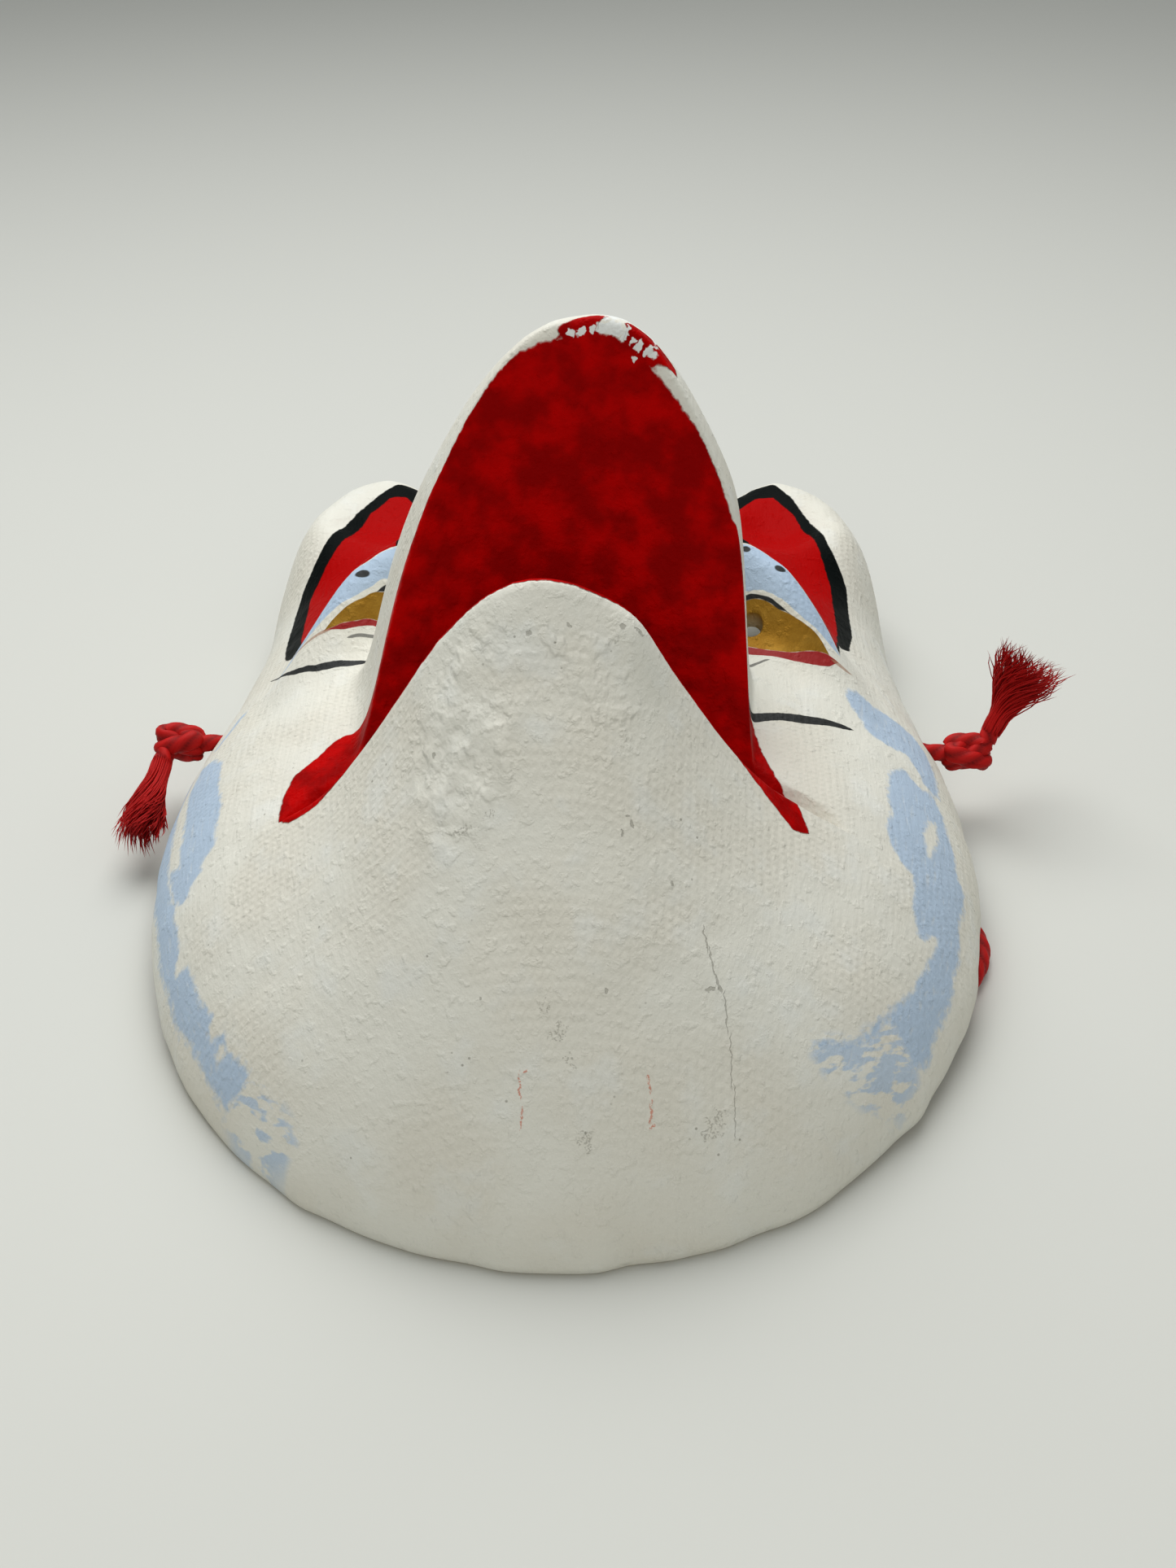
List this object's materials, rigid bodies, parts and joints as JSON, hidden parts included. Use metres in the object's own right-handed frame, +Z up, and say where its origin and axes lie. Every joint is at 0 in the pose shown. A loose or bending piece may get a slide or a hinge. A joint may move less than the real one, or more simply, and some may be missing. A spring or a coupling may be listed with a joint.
{
  "type": "fox mask",
  "caption": "Layered-paper fox mask with an open mouth, tall snout and upright ears, lying face up, with a twisted head cord knotted outside its side holes.",
  "frame": {"origin": "on the surface the mask lies on, below the middle of its bounding box without the cord", "axes": "+Y from the chin to the ears, +Z up out of the face, +X to the right when looking from the chin to the ears"},
  "size_m": [0.2035, 0.2347, 0.1265],
  "materials": {
    "painted_paper": "matte off-white ground over layered paper and gauze, with red, black, gold and pale blue brush paint",
    "red_cord": "twisted red cord with frayed ends"
  },
  "bodies": {
    "root": {"mask_shell": "painted_paper", "head_cord": "red_cord", "left_knot": "red_cord", "right_knot": "red_cord", "left_cord_end": "red_cord", "right_cord_end": "red_cord"}
  },
  "joints": []
}
